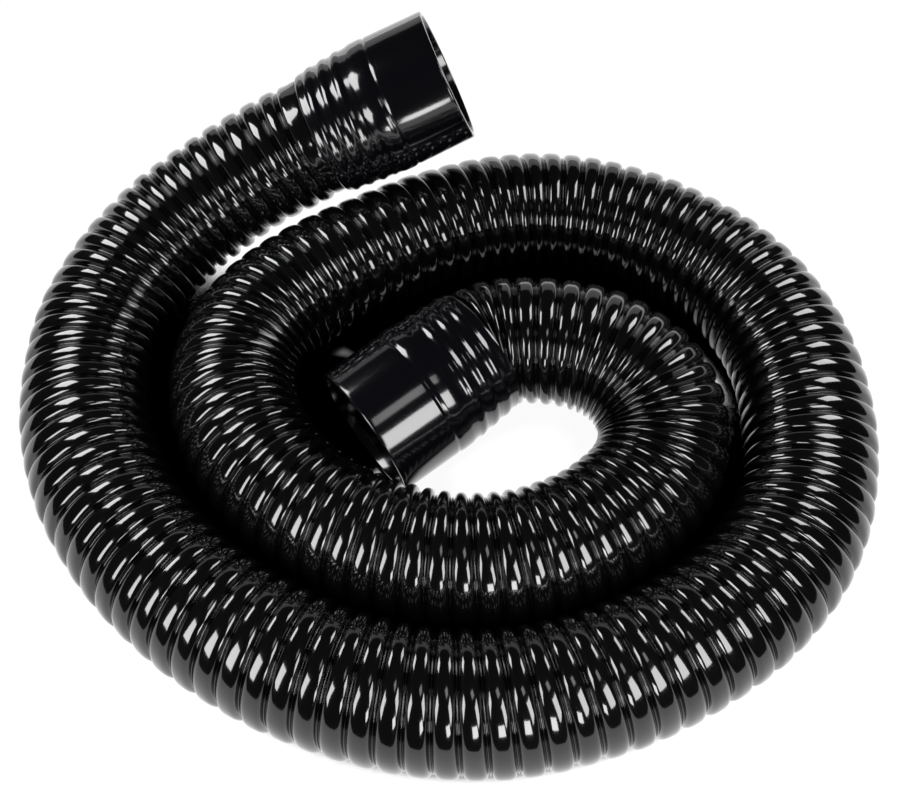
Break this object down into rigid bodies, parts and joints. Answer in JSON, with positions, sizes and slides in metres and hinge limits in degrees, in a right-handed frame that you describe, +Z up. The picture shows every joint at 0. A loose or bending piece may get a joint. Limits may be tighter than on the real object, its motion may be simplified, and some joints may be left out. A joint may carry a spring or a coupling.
{
  "type": "vacuum hose",
  "caption": "Flexible ribbed vacuum hose lying in a coil, with a ridged slip-on cuff glued over each end.",
  "frame": {"origin": "on the floor, under the middle of the whole part's box", "axes": "+Z up; +X along the coil's longer side, the way the lifted outer cuff mostly points; +Y from the open front of the coil to the side where the outer cuff is"},
  "size_m": [0.3228, 0.2865, 0.1002],
  "materials": {
    "hose_film": "glossy soft vinyl film over a wire helix",
    "cuff_moulding": "glossy moulded vinyl"
  },
  "bodies": {
    "root": {"hose": "hose_film", "outer_cuff": "cuff_moulding", "inner_cuff": "cuff_moulding"}
  },
  "joints": []
}
